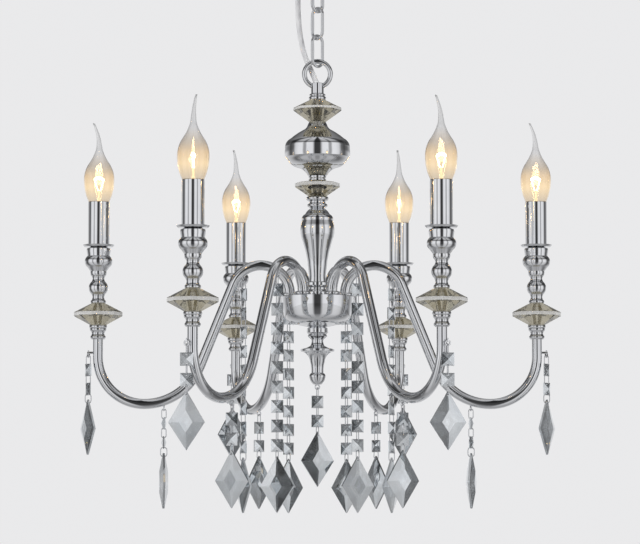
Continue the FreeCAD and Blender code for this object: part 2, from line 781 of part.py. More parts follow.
def drilled(solid, height, depth):
    """A square hole from front to back."""
    hole = Part.makeBox(bead_hole, depth + 2 * overrun, bead_hole,
                        V(-bead_hole / 2, -depth / 2 - overrun, height - bead_hole / 2))
    return solid.cut(hole)


def square_bead(height):
    """A square bead with four facets to a point on each face, drilled near its top and bottom."""
    half = bead_size / 2
    edge = bead_edge / 2
    corners = ((-half, -half), (half, -half), (half, half), (-half, half))
    rings = [[V(0, -bead_thickness / 2, height)],
             [V(x, -edge, height + z) for x, z in corners],
             [V(x, edge, height + z) for x, z in corners],
             [V(0, bead_thickness / 2, height)]]
    solid = faceted(rings)
    for side in (-1, 1):
        solid = drilled(solid, height + side * bead_hole_place, bead_thickness)
    return solid


def kite_drop(hole_height):
    """The kite-shaped drop with a small raised table on each face."""
    top = hole_height + kite_hole_place
    widest = top - kite_height * kite_widest_share
    outline = ((0.0, top), (kite_width / 2, widest), (0.0, top - kite_height), (-kite_width / 2, widest))

    def kite(share, depth):
        return [V(x * share, depth, widest + (z - widest) * share) for x, z in outline]

    rings = [kite(kite_table_share, -kite_thickness / 2), kite(1.0, -kite_edge / 2),
             kite(1.0, kite_edge / 2), kite(kite_table_share, kite_thickness / 2)]
    return drilled(faceted(rings), hole_height, kite_thickness)


def strand(beads):
    """A strand that hangs from a wire at the origin, facing the front."""
    hook = eye_wire + running_gap + wire_thickness / 2
    solids = []
    at = hook
    for _ in range(beads):
        solids.append(flat_ring(oval_half_width, oval_end, oval_length, at))
        middle = at - oval_length - bead_hole_place
        solids.append(square_bead(middle))
        at = middle - bead_hole_place
    solids.append(flat_ring(kite_oval_half_width, kite_oval_end, oval_length, at))
    solids.append(kite_drop(at - oval_length))
    return solids


def eye_ring():
    """The wire of an eye, six-sided, facing the front; the middle of its lowest run is at the origin."""
    points = [V(eye_radius + eye_wire * math.cos(math.radians(a)), 0, eye_wire * math.sin(math.radians(a)))
              for a in range(0, 360, 60)]
    ring = Part.Face(Part.makePolygon(points + points[:1])).revolve(CENTRE, UP, 360)
    ring.rotate(CENTRE, V(1, 0, 0), 90)
    ring.translate(V(0, 0, eye_radius))
    return ring


def strand_eye(shank_height):
    """The eye that a strand hangs from, with its shank."""
    shank = Part.makeCylinder(eye_wire, shank_height, V(0, 0, 2 * eye_radius))
    return eye_ring().fuse(shank)


def strand_places():
    """Each strand's name, hook point, facing and number of beads."""
    places = []
    for name, heading in arm_headings.items():
        out = V(math.sin(math.radians(heading)), -math.cos(math.radians(heading)), 0)
        for kind, radius, beads in (("inner", inner_strand_radius, inner_strand_beads),
                                    ("under", arm_reach - under_strand_inset, short_strand_beads),
                                    ("outer", arm_reach + outer_strand_offset, short_strand_beads)):
            if kind == "outer":
                height = -outer_strand_depth
            else:
                height = arm_height(radius) - eye_drop
            places.append((kind, name, out * radius + V(0, 0, height), strand_facings[kind][name], beads))
    return places


def riser_peg():
    """The peg that holds an eye off the outside of a riser, along +X and ending at the origin."""
    reach = outer_strand_offset - tube_radius / 2
    return Part.makeCylinder(eye_shank, reach + eye_shank, V(-reach, 0, 0), V(1, 0, 0))


def hung(solids, place, facing):
    """Copies of a strand's solids, turned and moved to their hook."""
    copies = []
    for solid in solids:
        copy = faced(solid, facing)
        copy.translate(place)
        copies.append(copy)
    return copies


def build_strands():
    """Writes every strand of the arms and returns the eyes that carry the strands."""
    eyes = [finial_eye()[0]]
    arms = {name: placed(ARM_BAR, heading) for name, heading in arm_headings.items()}
    for kind, name, place, facing, beads in strand_places():
        export(kind + "_strand_" + name, hung(strand(beads), place, facing))
        eye = faced(strand_eye(tube_radius / 2), facing)
        eye.translate(place)
        if kind == "outer":
            peg = placed(riser_peg(), arm_headings[name], arm_reach + outer_strand_offset)
            peg.translate(V(0, 0, place.z + 2 * eye_radius))
            eye = eye.fuse(peg)
        eyes.append(eye.cut(arms[name]))
    return eyes


def build_candles():
    """Writes the six of each candle piece."""
    stem, pan_top = candle_stem()
    lamp_top = pan_top + sleeve_height
    cap_top = lamp_top - bulb_neck
    crystals = [stood(candle_crystal(), heading, arm_reach) for heading in arm_headings.values()]
    export("candle_crystals", crystals)
    pieces = (("riser_cups", riser_cup()), ("candle_stems", stem), ("candle_sleeves", candle_sleeve(pan_top)),
              ("lampholders", lampholder(pan_top)), ("lamp_caps", lamp_cap(cap_top)),
              ("lamp_mounts", lamp_mount(cap_top)))
    for name, solid in pieces:
        export(name, [placed(solid, heading, arm_reach) for heading in arm_headings.values()])
    glasses = []
    for name, heading in arm_headings.items():
        glass = lamp_glass(lamp_top, tail_headings[name] - heading + 90)
        glasses.append(placed(glass, heading, arm_reach))
    export("lamp_glasses", glasses)


def build_column():
    """Writes the column, the bowl and what hangs under it."""
    export("centre_bowl", [centre_bowl()])
    export("bowl_lid", [bowl_lid()])
    export("centre_rod", [centre_rod()])
    export("column_base", [column_piece(base_outline_shares, base_radius, "base", base_height)])
    export("baluster", [column_piece(baluster_outline_shares, baluster_radius, "baluster", baluster_height)])
    export("column_rings", [column_piece(rings_outline_shares, rings_radius, "rings", rings_height)])
    export("lower_crystal", [crystal(lower_crystal_radius, lower_crystal_heights, LEVELS["lower_crystal"],
                                     rod_radius + seat_gap)])
    export("column_neck", [column_piece(neck_outline_shares, neck_radius, "neck", neck_height)])
    export("vase_shell", [column_piece(vase_outline_shares, vase_radius, "vase", vase_height, vase_wall)])
    export("upper_crystal", [crystal(upper_crystal_radius, upper_crystal_heights, LEVELS["upper_crystal"],
                                     rod_radius + seat_gap)])
    export("ring_coupler", [ring_coupler()])
    export("hanging_ring", [ring_loop(ring_wire)])
    export("bottom_finial", [bottom_finial()])
    hook = V(0, 0, finial_eye()[1])
    export("centre_strand", hung(strand(short_strand_beads), hook, strand_facings["centre"]["middle"]))


def build_arms():
    """Writes the arms, their collars and nuts, and the eyes and strands that they carry."""
    tube = arm_tube()
    for name, heading in arm_headings.items():
        export("arm_" + name, [placed(tube, heading)])
    export("root_collars", [placed(root_collar(), heading, root_radius) for heading in arm_headings.values()])
    export("root_nuts", [placed(root_nut(), heading, root_radius) for heading in arm_headings.values()])
    export("strand_eyes", build_strands())


def build_canopy():
    """Writes the canopy, the chain and the cord."""
    export("canopy_dome", [canopy_dome()])
    export("ceiling_bracket", [ceiling_bracket()])
    export("canopy_stud", [canopy_stud()])
    export("canopy_nut", [canopy_nut()])
    export("canopy_hook", [canopy_hook()])
    export("cord_grip", [cord_grip()])
    export("chain_link_1", [chain_link("link_1", -link_turn)])
    export("chain_link_2", [chain_link("link_2", link_turn)])
    for name, piece in zip(("supply_cord_upper", "supply_cord_middle", "supply_cord_lower"), supply_cord()):
        export(name, [piece])


os.makedirs("parts", exist_ok=True)
build_column()
build_arms()
build_candles()
build_canopy()
print("ceiling above the crystals' middle plane: %.2f mm" % LEVELS["ceiling"])
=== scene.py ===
import bpy
import math
from mathutils import Matrix, Vector


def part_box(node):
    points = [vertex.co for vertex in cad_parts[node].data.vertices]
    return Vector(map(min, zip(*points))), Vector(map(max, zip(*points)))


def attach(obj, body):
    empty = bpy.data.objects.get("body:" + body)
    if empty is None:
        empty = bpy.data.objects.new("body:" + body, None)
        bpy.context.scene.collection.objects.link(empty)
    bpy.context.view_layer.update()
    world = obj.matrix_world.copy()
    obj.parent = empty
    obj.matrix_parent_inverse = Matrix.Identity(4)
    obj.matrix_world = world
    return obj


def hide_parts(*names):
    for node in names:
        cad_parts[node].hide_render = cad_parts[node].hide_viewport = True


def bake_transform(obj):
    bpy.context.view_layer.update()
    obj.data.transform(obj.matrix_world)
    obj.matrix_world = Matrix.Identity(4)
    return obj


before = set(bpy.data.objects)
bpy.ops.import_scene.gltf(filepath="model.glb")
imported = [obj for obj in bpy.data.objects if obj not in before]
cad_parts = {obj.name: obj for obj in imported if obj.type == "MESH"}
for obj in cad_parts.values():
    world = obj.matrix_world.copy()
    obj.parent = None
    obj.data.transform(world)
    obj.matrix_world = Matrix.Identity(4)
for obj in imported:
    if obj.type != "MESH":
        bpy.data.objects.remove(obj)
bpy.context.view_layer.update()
bpy.ops.object.select_all(action="DESELECT")

# The room: a pale floor far under the lamp, a plain pale surround and soft lamps, with the photograph's
# long lens. Polished metal and glass see soft windows and dark gaps in its walls and floor.
pale = (0.82, 0.82, 0.83, 1)
seen_through = 0.6
window_stops = ((0.00, 0.05), (0.026, 0.05), (0.048, 0.88), (0.104, 0.93), (0.118, 0.40), (0.138, 0.40),
                (0.154, 0.93), (0.195, 0.90), (0.232, 0.74), (0.262, 0.14), (0.31, 0.10),
                (0.36, 0.60), (0.42, 0.86), (0.58, 0.86), (0.635, 0.48), (0.69, 0.12), (0.738, 0.16),
                (0.772, 0.76), (0.81, 0.90), (0.846, 0.93), (0.862, 0.40), (0.882, 0.40), (0.896, 0.93),
                (0.948, 0.88), (0.974, 0.06), (1.00, 0.05))
height_stops = ((0.0, 0.30), (0.22, 0.22), (0.33, 0.85), (0.40, 1.0), (0.66, 1.0), (0.74, 0.26),
                (0.80, 0.20), (0.84, 0.62), (0.90, 0.55), (0.97, 0.70), (1.0, 0.85))
backdrop_stops = ((0.0, 0.34), (0.30, 0.30), (0.40, 0.16), (0.452, 0.90), (0.54, 0.94), (0.60, 0.16),
                  (0.70, 0.10), (0.90, 0.30), (1.0, 0.80))
backdrop_fade = (0.1, 0.6)
wall_blue = 1.02


def feed(tree, made, feeds):
    """Each socket of a node gets its value, or its link from another node."""
    for socket, value in feeds.items():
        if isinstance(value, bpy.types.NodeSocket):
            tree.links.new(value, made.inputs[socket])
        else:
            made.inputs[socket].default_value = value


def add_node(tree, kind, feeds=None, **settings):
    """A shader node with its settings and with what its sockets are fed."""
    made = tree.nodes.new("ShaderNode" + kind)
    for name, value in settings.items():
        setattr(made, name, value)
    feed(tree, made, feeds or {})
    return made


def combined(tree, operation, first, second):
    """Two values put together by one sum."""
    return add_node(tree, "Math", {0: first, 1: second}, operation=operation).outputs[0]


def fade(tree, value, start, end, low=0.0, high=1.0):
    """Runs from low to high while a value runs from start to end."""
    sockets = {"Value": value, "From Min": start, "From Max": end, "To Min": low, "To Max": high}
    return add_node(tree, "MapRange", sockets).outputs["Result"]


def ramp(tree, value, stops):
    """A colour that follows a value. Each stop is a place and its colour."""
    made = add_node(tree, "ValToRGB", {"Fac": value})
    elements = made.color_ramp.elements
    elements[0].position = stops[0][0]
    elements[1].position = stops[-1][0]
    for stop in stops[1:-1]:
        elements.new(stop[0])
    for element, stop in zip(elements, stops):
        element.color = (*stop[1], 1)
    return made.outputs["Color"]


def greys(stops, blue=1.0):
    """Stops of a place and a shade, as the stops of a grey ramp."""
    return [(place, (shade, shade, shade * blue)) for place, shade in stops]


def windows_round(tree, part, blue=1.0):
    """The ring of windows and dark gaps round the studio, by the bearing of a place or direction."""
    bearing = combined(tree, "ARCTAN2", part["X"], part["Y"])
    return ramp(tree, fade(tree, bearing, -math.pi, math.pi), greys(window_stops, blue))


def rays(tree):
    """Three shares: for what metal and glass see, what shows through glass, and what the camera sees."""
    path = add_node(tree, "LightPath").outputs
    mirrored = combined(tree, "MAXIMUM", path["Is Glossy Ray"], path["Is Transmission Ray"])
    through = combined(tree, "MULTIPLY", path["Is Transmission Ray"], seen_through)
    return mirrored, through, path["Is Camera Ray"]


def shared(tree, share, first, second):
    """The second shader by its share, and the first for the rest."""
    return add_node(tree, "MixShader", {"Fac": share, 1: first, 2: second}).outputs[0]


def new_finish(name):
    """A new material with its nodes and its shader."""
    finish = bpy.data.materials.new(name)
    finish.use_nodes = True
    return finish, finish.node_tree, finish.node_tree.nodes["Principled BSDF"]


# the sky: the camera sees it plain, and metal and glass by the bearing and height of what they look at
world = bpy.data.worlds.new("pale_studio")
bpy.context.scene.world = world
world.use_nodes = True
sky = world.node_tree
sky.nodes.clear()
sky_place = add_node(sky, "TexCoord").outputs["Generated"]
sky_part = add_node(sky, "SeparateXYZ", {"Vector": sky_place}).outputs
sky_rise = fade(sky, sky_part["Z"], -1.0, 1.0)
by_height = add_node(sky, "Mix", {"Factor": fade(sky, sky_part["Y"], *backdrop_fade),
                                  "A": ramp(sky, sky_rise, greys(height_stops)),
                                  "B": ramp(sky, sky_rise, greys(backdrop_stops))}, data_type="RGBA")
studio = add_node(sky, "Mix", {"Factor": 1.0, "A": windows_round(sky, sky_part, wall_blue),
                               "B": by_height.outputs["Result"]}, data_type="RGBA", blend_type="MULTIPLY")
sky_light = add_node(sky, "Background", {"Color": (0.80, 0.80, 0.82, 1), "Strength": 0.55}).outputs[0]
sky_seen = add_node(sky, "Background", {"Color": pale}).outputs[0]
sky_mirrored = add_node(sky, "Background", {"Color": studio.outputs["Result"]}).outputs[0]
mirrored, through, by_camera = rays(sky)
sky_met = shared(sky, mirrored, sky_light, shared(sky, through, sky_mirrored, sky_seen))
add_node(sky, "OutputWorld", {"Surface": shared(sky, by_camera, sky_met, sky_seen)})
bpy.context.scene.view_settings.view_transform = "Standard"

floor_radius = 30.0
floor_level = -6.0
under_lamp = 0.42
stripes_fade = (1.0, 7.0)
paint_fade = (4.0, 22.0, 0.70, 1.0)
bpy.ops.mesh.primitive_circle_add(vertices=96, radius=floor_radius, fill_type="NGON",
                                  location=(0, 0, floor_level))
floor = bpy.context.object
floor.name = "studio_floor"
floor_paint, paint, paint_shader = new_finish("floor_paint")
feed(paint, paint_shader, {"Base Color": (0.84, 0.84, 0.85, 1), "Roughness": 0.8})

# the floor runs out into the pale wall, and metal and glass see it grey under the lamp, striped further out
floor_place = add_node(paint, "TexCoord").outputs["Object"]
floor_part = add_node(paint, "SeparateXYZ", {"Vector": floor_place}).outputs
floor_reach = add_node(paint, "VectorMath", {0: floor_place}, operation="LENGTH").outputs["Value"]
mirrored, through, by_camera = rays(paint)
striped = add_node(paint, "Mix", {"Factor": fade(paint, floor_reach, *stripes_fade), "A": under_lamp,
                                  "B": windows_round(paint, floor_part)})
plain = add_node(paint, "Mix", {"Factor": combined(paint, "MAXIMUM", through, by_camera),
                                "A": striped.outputs["Result"], "B": 1.0})
floor_seen = add_node(paint, "Emission", {"Color": pale, "Strength": plain.outputs["Result"]})
floor_share = combined(paint, "MULTIPLY", combined(paint, "MAXIMUM", mirrored, by_camera),
                       fade(paint, floor_reach, *paint_fade))
floor_mix = shared(paint, floor_share, paint_shader.outputs[0], floor_seen.outputs[0])
feed(paint, paint.nodes["Material Output"], {"Surface": floor_mix})
floor.data.materials.append(floor_paint)

lamps_aim = Vector((0, 0, -0.4))
for name, place, size, power in (("window_left", (-2.2, -1.6, 0.9), 1.3, 40),
                                 ("window_right", (2.4, -1.2, 0.6), 1.0, 28),
                                 ("window_rear", (0.4, 2.4, 1.0), 1.4, 30)):
    bpy.ops.object.light_add(type="AREA", location=place)
    lamp = bpy.context.object
    lamp.name = name
    lamp.data.size = size
    lamp.data.energy = power
    lamp.rotation_euler = (lamps_aim - Vector(place)).to_track_quat("-Z", "Y").to_euler()
    lamp.visible_glossy = False
    lamp.visible_transmission = False

camera_place = (0.003, -3.1974, -0.67845)
camera_tilt = 5.03
bpy.ops.object.camera_add(location=camera_place)
camera = bpy.context.object
camera.name = "photo_camera"
camera.data.lens = 155.0
camera.data.sensor_width = 36.0
camera.rotation_euler = (math.radians(90 + camera_tilt), 0, 0)
bpy.context.scene.camera = camera

# The supply flex: white round sheath, held by the canopy's grip, let down beside the chain and into the
# column's head. It is one cord, in three stretches parted at the joints of the chain.
cord_route = ((-0.0230, 0.0060, -0.0513), (-0.0230, 0.0065, -0.0743), (-0.0225, 0.0075, -0.0963),
              (-0.0205, 0.0090, -0.1183), (-0.0155, 0.0095, -0.1403), (-0.0075, 0.0065, -0.1583),
              (0.0005, 0.0022, -0.1783))
cord_thickness = 0.0062
cord_partings = (-0.0963, -0.1403)
cord_pocket = 0.0007
hair = 0.00001
grain_span = (0.3, 0.7)
grain_detail = 3.0
grain_depth = 0.0003


def line_along(name, kind, points):
    """A curve along a list of points."""
    curve = bpy.data.curves.new(name, "CURVE")
    curve.dimensions = "3D"
    run = curve.splines.new(kind)
    run.points.add(len(points) - 1)
    for point, place in zip(run.points, points):
        point.co = (*place, 1)
    made = bpy.data.objects.new(name, curve)
    bpy.context.scene.collection.objects.link(made)
    return made


def only(piece):
    """Selects one piece, and nothing else, to be worked on."""
    bpy.ops.object.select_all(action="DESELECT")
    piece.select_set(True)
    bpy.context.view_layer.objects.active = piece


def round_wire(name, points, radius, fineness):
    """A round wire along a list of points, capped at both ends, as a mesh."""
    wire = line_along(name, "POLY", points)
    wire.data.bevel_depth = radius
    wire.data.bevel_resolution = fineness
    wire.data.use_fill_caps = True
    only(wire)
    bpy.ops.object.convert(target="MESH")
    return bpy.context.object


def closed_up(weld=0.000004):
    """Merges the doubles of the piece being edited, turns its faces outwards and ends the editing."""
    bpy.ops.mesh.select_all(action="SELECT")
    bpy.ops.mesh.remove_doubles(threshold=weld)
    bpy.ops.mesh.normals_make_consistent(inside=False)
    bpy.ops.object.mode_set(mode="OBJECT")


def at_height(line, z):
    """The point where the cord's line passes a height."""
    for above, below in zip(line, line[1:]):
        if above.z >= z >= below.z:
            return above + (below - above) * ((above.z - z) / (above.z - below.z))
    return line[0] if z > line[1].z else line[-1]


def grained(name, tones, scale, roughness, bump, evenly=None):
    """A node material whose tone, roughness and faint relief all come from one fine noise in the piece.
    What is the same all over the piece is given evenly."""
    finish, tree, shader = new_finish(name)
    place = add_node(tree, "TexCoord").outputs["Object"]
    noise = add_node(tree, "TexNoise", {"Vector": place, "Scale": scale, "Detail": grain_detail})
    grain = noise.outputs["Fac"]
    relief = add_node(tree, "Bump", {"Height": grain, "Strength": bump, "Distance": grain_depth})
    feed(tree, shader, {"Base Color": ramp(tree, grain, tuple(zip(grain_span, tones))),
                        "Roughness": fade(tree, grain, *grain_span, *roughness),
                        "Normal": relief.outputs["Normal"]})
    feed(tree, shader, evenly or {})
    return finish


route = line_along("cord_line", "NURBS", cord_route)
route.data.resolution_u = 24
route.data.splines[0].order_u = 3
route.data.splines[0].use_endpoint_u = True
route_mesh = bpy.data.meshes.new_from_object(route)
cord_line = [Vector(v.co) for v in route_mesh.vertices]
bpy.data.objects.remove(route)
bpy.data.meshes.remove(route_mesh)

sheath = grained("white_cord_sheath", ((0.74, 0.74, 0.75), (0.88, 0.88, 0.88)), 90.0, (0.34, 0.46), 0.25,
                 {"Specular IOR Level": 0.45})
cord_levels = (cord_route[0][2],) + cord_partings + (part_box("ring_coupler")[1].z - cord_pocket,)
for name, bodies, top, end in (("flex_upper", ("canopy", "upper_link"), *cord_levels[0:2]),
                               ("flex_middle", ("upper_link", "lower_link"), *cord_levels[1:3]),
                               ("flex_lower", ("lower_link", "fixture"), *cord_levels[2:4])):
    line = [p for p in cord_line if top > p.z > end]
    line = [at_height(cord_line, top)] + line + [at_height(cord_line, end)]
    flex = round_wire(name, line, radius=cord_thickness / 2, fineness=6)
    bpy.ops.object.mode_set(mode="EDIT")
    closed_up(weld=hair)
    bpy.ops.object.shade_smooth_by_angle(angle=math.radians(50))
    flex.data.materials.clear()
    flex.data.materials.append(sheath)
    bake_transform(flex)
    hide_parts(name.replace("flex", "supply_cord"))

# Ceiling fixing: a slotted steel cross bar, a threaded stud through it and the ring nut inside the canopy.
# All three are zinc-plated stock parts, screwed up before the canopy hides them.
zinc = grained("zinc_plate", ((0.52, 0.53, 0.55), (0.68, 0.69, 0.71)), 140.0, (0.28, 0.46), 0.3,
               {"Metallic": 1.0})


def finish_node(node, finish):
    """A solid whose form is already right keeps its mesh and gets its finish."""
    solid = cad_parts[node]
    solid.data.materials.clear()
    solid.data.materials.append(finish)
    for face in solid.data.polygons:
        face.material_index = 0


for node in ("ceiling_bracket", "canopy_stud", "canopy_nut"):
    finish_node(node, zinc)

# Canopy: a spun steel cover with a flat floor and a rounded shoulder, polished and chrome plated.
# The ring nut pulls it up against the ceiling.
chrome = grained("chrome_plate", ((0.76, 0.77, 0.79), (0.82, 0.83, 0.84)), 60.0, (0.02, 0.06), 0.05,
                 {"Metallic": 1.0})
canopy_radius = 0.060
canopy_height = 0.060
canopy_wall = 0.0012
canopy_flat = 0.034
stud_hole = 0.0052
arc_step = math.radians(9)
soft_edge = 0.00025


def round_corner(start, middle, end):
    """Points of the arc from start through middle to end, start left out."""
    (ax, az), (bx, bz), (cx, cz) = start, middle, end
    d = 2 * (ax * (bz - cz) + bx * (cz - az) + cx * (az - bz))
    a, b, c = ax * ax + az * az, bx * bx + bz * bz, cx * cx + cz * cz
    x = (a * (bz - cz) + b * (cz - az) + c * (az - bz)) / d
    z = (a * (cx - bx) + b * (ax - cx) + c * (bx - ax)) / d
    first = math.atan2(az - z, ax - x)
    sweep = (math.atan2(cz - z, cx - x) - first) % (2 * math.pi)
    if (math.atan2(bz - z, bx - x) - first) % (2 * math.pi) > sweep:
        sweep -= 2 * math.pi
    radius = math.hypot(ax - x, az - z)
    steps = max(3, round(abs(sweep) / arc_step))
    angles = [first + sweep * i / steps for i in range(1, steps + 1)]
    return [(x + radius * math.cos(angle), z + radius * math.sin(angle)) for angle in angles]


def profile(shares, radius, height, top):
    """An outline in real sizes from shares of a piece's radius and height, counted down from its top.
    An entry of two numbers is a straight run to that point, one of four an arc through its first pair."""
    points = []
    for entry in shares:
        sizes = [radius * s if i % 2 == 0 else top - height * s for i, s in enumerate(entry)]
        if len(sizes) == 2:
            points.append(tuple(sizes))
        else:
            points += round_corner(points[-1], tuple(sizes[:2]), tuple(sizes[2:]))
    return points


def apply_modifier(piece, kind, **settings):
    """Gives the piece being worked on a modifier and applies it."""
    bpy.ops.object.modifier_add(type=kind)
    modifier = piece.modifiers[-1]
    for name, value in settings.items():
        setattr(modifier, name, value)
    bpy.ops.object.modifier_apply(modifier=modifier.name)


def polished(piece, edge=soft_edge, smooth=38):
    """Rounds the sharp edges as polishing does, and smooths what lies between them."""
    only(piece)
    if edge:
        apply_modifier(piece, "BEVEL", width=edge, segments=2, limit_method="ANGLE",
                       angle_limit=math.radians(smooth))
    bpy.ops.object.shade_smooth_by_angle(angle=math.radians(smooth))
    apply_modifier(piece, "WEIGHTED_NORMAL", keep_sharp=True)
    return piece


def begun(name, add, **sizes):
    """A primitive under its own name, its place in its mesh, open for editing with all of it selected."""
    bpy.ops.object.select_all(action="DESELECT")
    add(**sizes)
    piece = bpy.context.object
    piece.name = piece.data.name = name
    bpy.ops.object.transform_apply()
    bpy.ops.object.mode_set(mode="EDIT")
    bpy.ops.mesh.select_all(action="SELECT")
    return piece


def draw_out(x, y, z):
    """Extrudes what is selected by one step."""
    bpy.ops.mesh.extrude_region_move(TRANSFORM_OT_translate={"value": (x, y, z)})


def turn(name, outline, steps=72, edge=soft_edge):
    """A piece turned on a lathe: its outline, by radius and height, is spun round the upright axis."""
    piece = begun(name, bpy.ops.mesh.primitive_plane_add, size=0.01)
    bpy.ops.mesh.merge(type="CENTER")
    bpy.ops.transform.translate(value=(outline[0][0], 0, outline[0][1]))
    for (r, z), (next_r, next_z) in zip(outline, outline[1:]):
        draw_out(next_r - r, 0, next_z - z)
    bpy.ops.mesh.select_all(action="SELECT")
    bpy.ops.mesh.spin(steps=steps, angle=2 * math.pi, center=(0, 0, 0), axis=(0, 0, 1))
    closed_up()
    return polished(piece, edge)


def dress(piece, finish, body, node):
    """Gives a piece its finish, the body it moves with and the solid it stands for."""
    piece.data.materials.clear()
    piece.data.materials.append(finish)
    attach(piece, body)
    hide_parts(node)
    return piece


def plated(piece, node, body="fixture"):
    """Dresses a piece of polished and chrome plated metal."""
    return dress(piece, chrome, body, node)


canopy_shares = ((1.0, 0.0), (0.955, 0.43, canopy_flat / canopy_radius, 1.0))
canopy_outer = profile(canopy_shares, canopy_radius, canopy_height, 0.0)
canopy_inner = [(r - canopy_wall, z - z * canopy_wall / canopy_height) for r, z in reversed(canopy_outer)]
canopy_inside = (stud_hole, canopy_inner[0][1])
canopy_shape = [canopy_inside] + canopy_inner + canopy_outer + [(stud_hole, -canopy_height), canopy_inside]
plated(turn("canopy_cover", canopy_shape, steps=96), "canopy_dome", "canopy")

# Bail and cord grip: a wire bent to a U in a flanged boss that screws onto the stud, and beside it the
# clear plastic bush that clamps the flex in the canopy's floor.
link_half = 0.00825
bail_wire = 0.0020
boss_radius = 0.011
boss_height = 0.005
chain_turn = 45
bail_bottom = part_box("canopy_hook")[0].z + bail_wire
boss_top = -canopy_height
boss_middle = boss_top - boss_height / 2
boss_bottom = boss_top - boss_height


def bent(name, start, radius, route, sides=20, closed=False):
    """A round bar bent in the XZ plane. A pair in the route is a straight run across and up;
    a run of four is a bend: its centre across and up, its angle and its steps."""
    bar = begun(name, bpy.ops.mesh.primitive_circle_add, vertices=sides, radius=radius,
                location=(start[0], 0, start[1]))
    if not closed:
        bpy.ops.mesh.edge_face_add()
    for entry in route:
        if len(entry) == 2:
            draw_out(entry[0], 0, entry[1])
        else:
            x, z, angle, steps = entry
            bpy.ops.mesh.spin(steps=steps, angle=angle, center=(x, 0, z), axis=(0, 1, 0))
    closed_up()
    return bar


def about_z(degrees):
    """A turn about the upright axis."""
    return Matrix.Rotation(math.radians(degrees), 4, "Z")


def round_rim(hole, radius, high, low):
    """The outline of a ring with a half-round rim, from its hole's top edge to its lower face."""
    half = (high - low) / 2
    rim = round_corner((radius - half, high), (radius, high - half), (radius - half, low))
    return [(hole, high), (radius - half, high)] + rim


bend_level = bail_bottom + link_half
bail = bent("canopy_bail", (-link_half, boss_middle), bail_wire,
            [(0, bend_level - boss_middle), (0, bend_level, math.pi, 24), (0, boss_middle - bend_level)])
polished(bail, edge=0)
bail.data.transform(about_z(chain_turn))
plated(bail, "canopy_hook", "canopy")
boss_outline = round_rim(stud_hole, boss_radius, boss_top, boss_bottom)
boss_outline += [(0, boss_bottom), (0, boss_middle), (stud_hole, boss_middle), (stud_hole, boss_top)]
plated(turn("canopy_boss", boss_outline, steps=48), "canopy_hook", "canopy")

grip_plastic = grained("clear_plastic", ((0.80, 0.80, 0.80), (0.88, 0.88, 0.88)), 120.0, (0.25, 0.40), 0.2,
                       {"Transmission Weight": 0.6, "IOR": 1.49})
finish_node("cord_grip", grip_plastic)

# Chain: two oval links of round steel wire, butt welded and chrome plated, each a quarter turn from the
# next. The weld is a slight swelling in the middle of one straight side.
link_wire = 0.00175
link_weld = 1.12
for name, node, body, facing in (("chain_link_upper", "chain_link_1", "upper_link", -chain_turn),
                                 ("chain_link_lower", "chain_link_2", "lower_link", chain_turn)):
    low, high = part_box(node)
    bottom = low.z + link_wire + link_half
    run = (high.z - low.z) - 2 * (link_wire + link_half)
    link = bent(name, (-link_half, bottom + run), link_wire,
                [(0, -run / 2), (0, -run / 2), (0, bottom, math.pi, 20), (0, run),
                 (0, bottom + run, math.pi, 20)], closed=True)
    for vertex in link.data.vertices:
        if abs(vertex.co.z - bottom - run / 2) < link_wire / 10 and vertex.co.x < 0:
            vertex.co.x = -link_half + (vertex.co.x + link_half) * link_weld
            vertex.co.y *= link_weld
    polished(link, edge=0, smooth=60)
    link.data.transform(about_z(facing))
    plated(link, node, body)

# Head of the column: a turned and cross-drilled coupler with a heavy round ring through it.
# The flex enters its top and the chain's lower link goes through the ring.
ring_radius = 0.0152
ring_wire = 0.0029
ring_low, ring_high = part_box("hanging_ring")
ring_middle = (ring_low.z + ring_high.z) / 2
ring = bent("hanging_ring_wire", (ring_radius, ring_middle), ring_wire,
            [(0, ring_middle, math.pi, 36), (0, ring_middle, math.pi, 36)], sides=28, closed=True)
polished(ring, edge=0)
plated(ring, "hanging_ring")

coupler_radius = 0.0101
coupler_height = 0.0199
coupler_shares = ((0.70, 0.0), (0.733, 0.03), (0.733, 0.62), (0.90, 0.66), (0.94, 0.72, 0.86, 0.78),
                  (0.98, 0.84), (1.0, 0.92, 0.95, 1.0))
cord_mouth = 0.0035
coupler_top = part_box("ring_coupler")[1].z
coupler_floor = coupler_top - cord_pocket
coupler_outline = [(0, coupler_floor), (cord_mouth, coupler_floor), (cord_mouth, coupler_top)]
coupler_outline += profile(coupler_shares, coupler_radius, coupler_height, coupler_top)
coupler_outline += [(0, coupler_top - coupler_height)]
plated(turn("coupler_head", coupler_outline), "ring_coupler")

